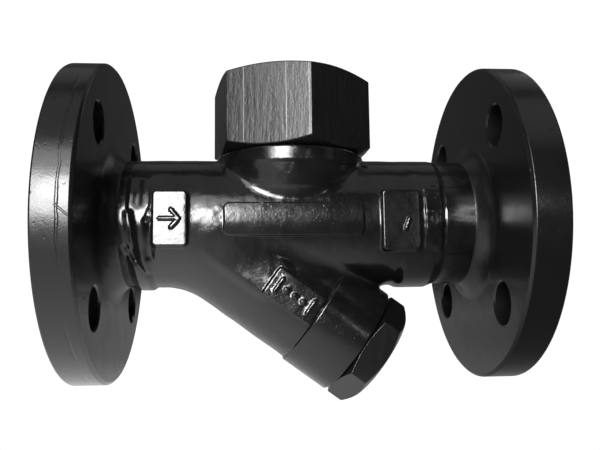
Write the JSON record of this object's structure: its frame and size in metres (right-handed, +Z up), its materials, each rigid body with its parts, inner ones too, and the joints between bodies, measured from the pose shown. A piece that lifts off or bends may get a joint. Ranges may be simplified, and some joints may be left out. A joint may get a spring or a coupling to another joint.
{
  "type": "flanged steam trap with y strainer",
  "caption": "Flanged thermodynamic steam trap with built-in Y strainer: cast body, hexagon bonnet cap over a lifting disc, angled leg with screen and screwed plug.",
  "frame": {"origin": "centre of the bounding box: midway between the two raised faces, on the plane of symmetry, 4 mm below the pipe axis", "axes": "+X along the pipe from inlet to outlet, +Z up along the bonnet axis, -Y is the side with the cast pads"},
  "size_m": [0.16, 0.115, 0.1229],
  "materials": {
    "body_paint": "semi-gloss black paint over cast steel",
    "flange_paint": "satin black paint over turned steel",
    "weld_paint": "semi-gloss black paint over a weld bead",
    "pipe_steel": "plain pipe steel, mill finish",
    "bare_weld": "bare weld metal",
    "cap_black": "black paint over a machined hexagon",
    "plug_black": "black paint over a machined hexagon, bare thread",
    "hard_steel": "hardened steel, ground and lapped",
    "stainless": "perforated stainless sheet",
    "soft_steel": "soft iron gasket ring",
    "graphite": "graphite gasket, matt"
  },
  "bodies": {
    "casing": {"body": "body_paint", "inlet_flange": "flange_paint", "outlet_flange": "flange_paint", "inlet_stub": "pipe_steel", "outlet_stub": "pipe_steel", "inlet_weld": "weld_paint", "outlet_weld": "weld_paint", "inlet_seal_weld": "bare_weld", "outlet_seal_weld": "bare_weld", "seat": "hard_steel", "seat_outer_gasket": "graphite", "seat_inner_gasket": "graphite", "inner_cover": "hard_steel"},
    "disc": {"disc": "hard_steel"},
    "cap_gasket": {"cap_gasket": "soft_steel"},
    "cap": {"cap": "cap_black"},
    "screen": {"strainer_screen": "stainless", "screen_top_ring": "stainless", "screen_bottom_ring": "stainless"},
    "plug_gasket": {"plug_gasket": "soft_steel"},
    "strainer_plug": {"strainer_plug": "plug_black"}
  },
  "joints": [
    {"name": "disc_lift", "type": "slide", "parent": "casing", "child": "disc", "axis": [0, 0, 1], "range_m": [0, 0.0015]},
    {"name": "cap_travel", "type": "slide", "parent": "casing", "child": "cap_gasket", "axis": [0, 0, 1], "range_m": [0, 0.012]},
    {"name": "cap_turn", "type": "hinge", "parent": "cap_gasket", "child": "cap", "pos_m": [-0.002, 0, 0.04], "axis": [0, 0, 1], "range_deg": [0, 2161]},
    {"name": "screen_withdraw", "type": "slide", "parent": "casing", "child": "screen", "axis": [0.809, 0, -0.5878], "range_m": [0, 0.016]},
    {"name": "plug_travel", "type": "slide", "parent": "screen", "child": "plug_gasket", "axis": [0.809, 0, -0.5878], "range_m": [0, 0.012]},
    {"name": "plug_turn", "type": "hinge", "parent": "plug_gasket", "child": "strainer_plug", "pos_m": [0.02552, 0, -0.04254], "axis": [0.809, 0, -0.5878], "range_deg": [0, 2161]}
  ],
  "couplings": [
    {"joint": "cap_turn", "follows": "cap_travel", "rad_per_m": 3141.6},
    {"joint": "plug_turn", "follows": "plug_travel", "rad_per_m": 3141.6}
  ]
}
